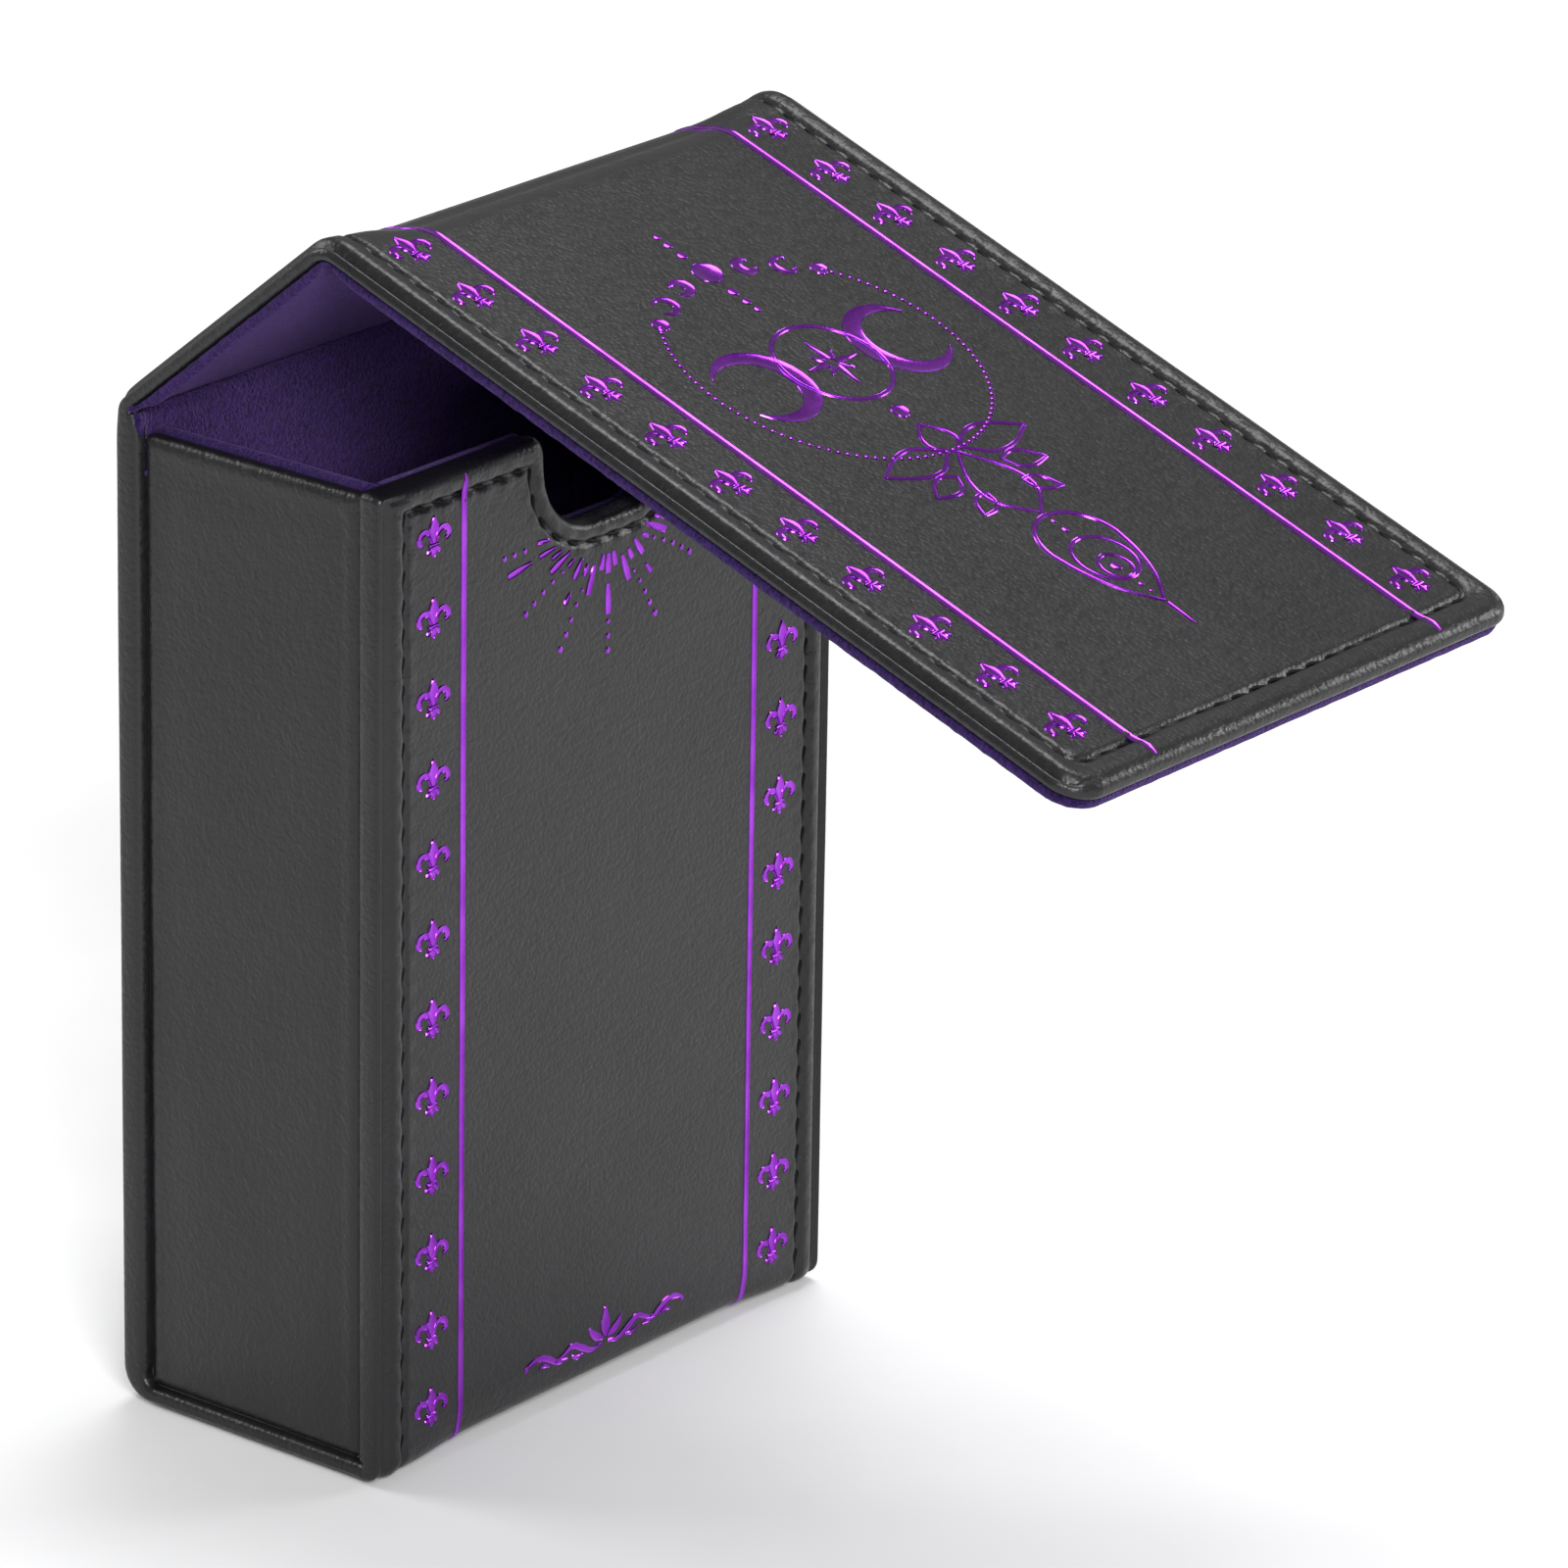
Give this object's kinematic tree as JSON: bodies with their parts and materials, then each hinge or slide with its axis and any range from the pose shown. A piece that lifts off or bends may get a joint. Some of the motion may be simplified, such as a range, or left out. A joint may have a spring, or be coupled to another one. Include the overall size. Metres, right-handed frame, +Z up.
{
  "type": "card deck box",
  "caption": "Stitched leather card deck box, velvet lined, with a thumb notch in front and a long flap lid that folds over on leather hinges.",
  "frame": {"origin": "centre of the base's footprint, on the table", "axes": "+Z up, the front panel with the thumb notch faces -Y, X runs across the width"},
  "size_m": [0.088, 0.1501, 0.1607],
  "materials": {
    "pu_leather": "fine pebbled matt",
    "foam": "closed cell foam sheet",
    "greyboard": "plain greyboard",
    "velvet": "short purple nap",
    "thread": "waxed black thread",
    "foil": "purple metallic hot-stamp foil",
    "magnet": "nickel plated",
    "steel": "zinc plated"
  },
  "bodies": {
    "box": {"front_leather": "pu_leather", "front_foam": "foam", "front_board": "greyboard", "front_lining": "velvet", "front_steel_discs": "steel", "front_stitching": "thread", "front_foil": "foil", "back_leather": "pu_leather", "back_foam": "foam", "back_board": "greyboard", "back_lining": "velvet", "back_stitching": "thread", "base_leather": "pu_leather", "base_board": "greyboard", "base_lining": "velvet", "left_leather": "pu_leather", "left_board": "greyboard", "left_lining": "velvet", "right_leather": "pu_leather", "right_board": "greyboard", "right_lining": "velvet", "rear_hinge_leather": "pu_leather", "rear_hinge_lining": "velvet"},
    "lid_top": {"lid_top_leather": "pu_leather", "lid_top_foam": "foam", "lid_top_board": "greyboard", "lid_top_lining": "velvet", "lid_top_stitching": "thread", "lid_top_foil": "foil", "fold_leather": "pu_leather", "fold_lining": "velvet"},
    "flap": {"flap_leather": "pu_leather", "flap_foam": "foam", "flap_board": "greyboard", "flap_lining": "velvet", "flap_magnets": "magnet", "flap_stitching": "thread", "flap_foil": "foil"}
  },
  "joints": [
    {"name": "rear_hinge", "type": "hinge", "parent": "box", "child": "lid_top", "pos_m": [0, 0.0188, 0.1325], "axis": [-1, 0, 0], "range_deg": [-39.5, 140.5], "deforming": ["rear_hinge_leather", "rear_hinge_lining"]},
    {"name": "front_fold", "type": "hinge", "parent": "lid_top", "child": "flap", "pos_m": [0, -0.01285, 0.15574], "axis": [-1, 0, 0], "range_deg": [-30.5, 59.5], "deforming": ["fold_leather", "fold_lining"]}
  ]
}
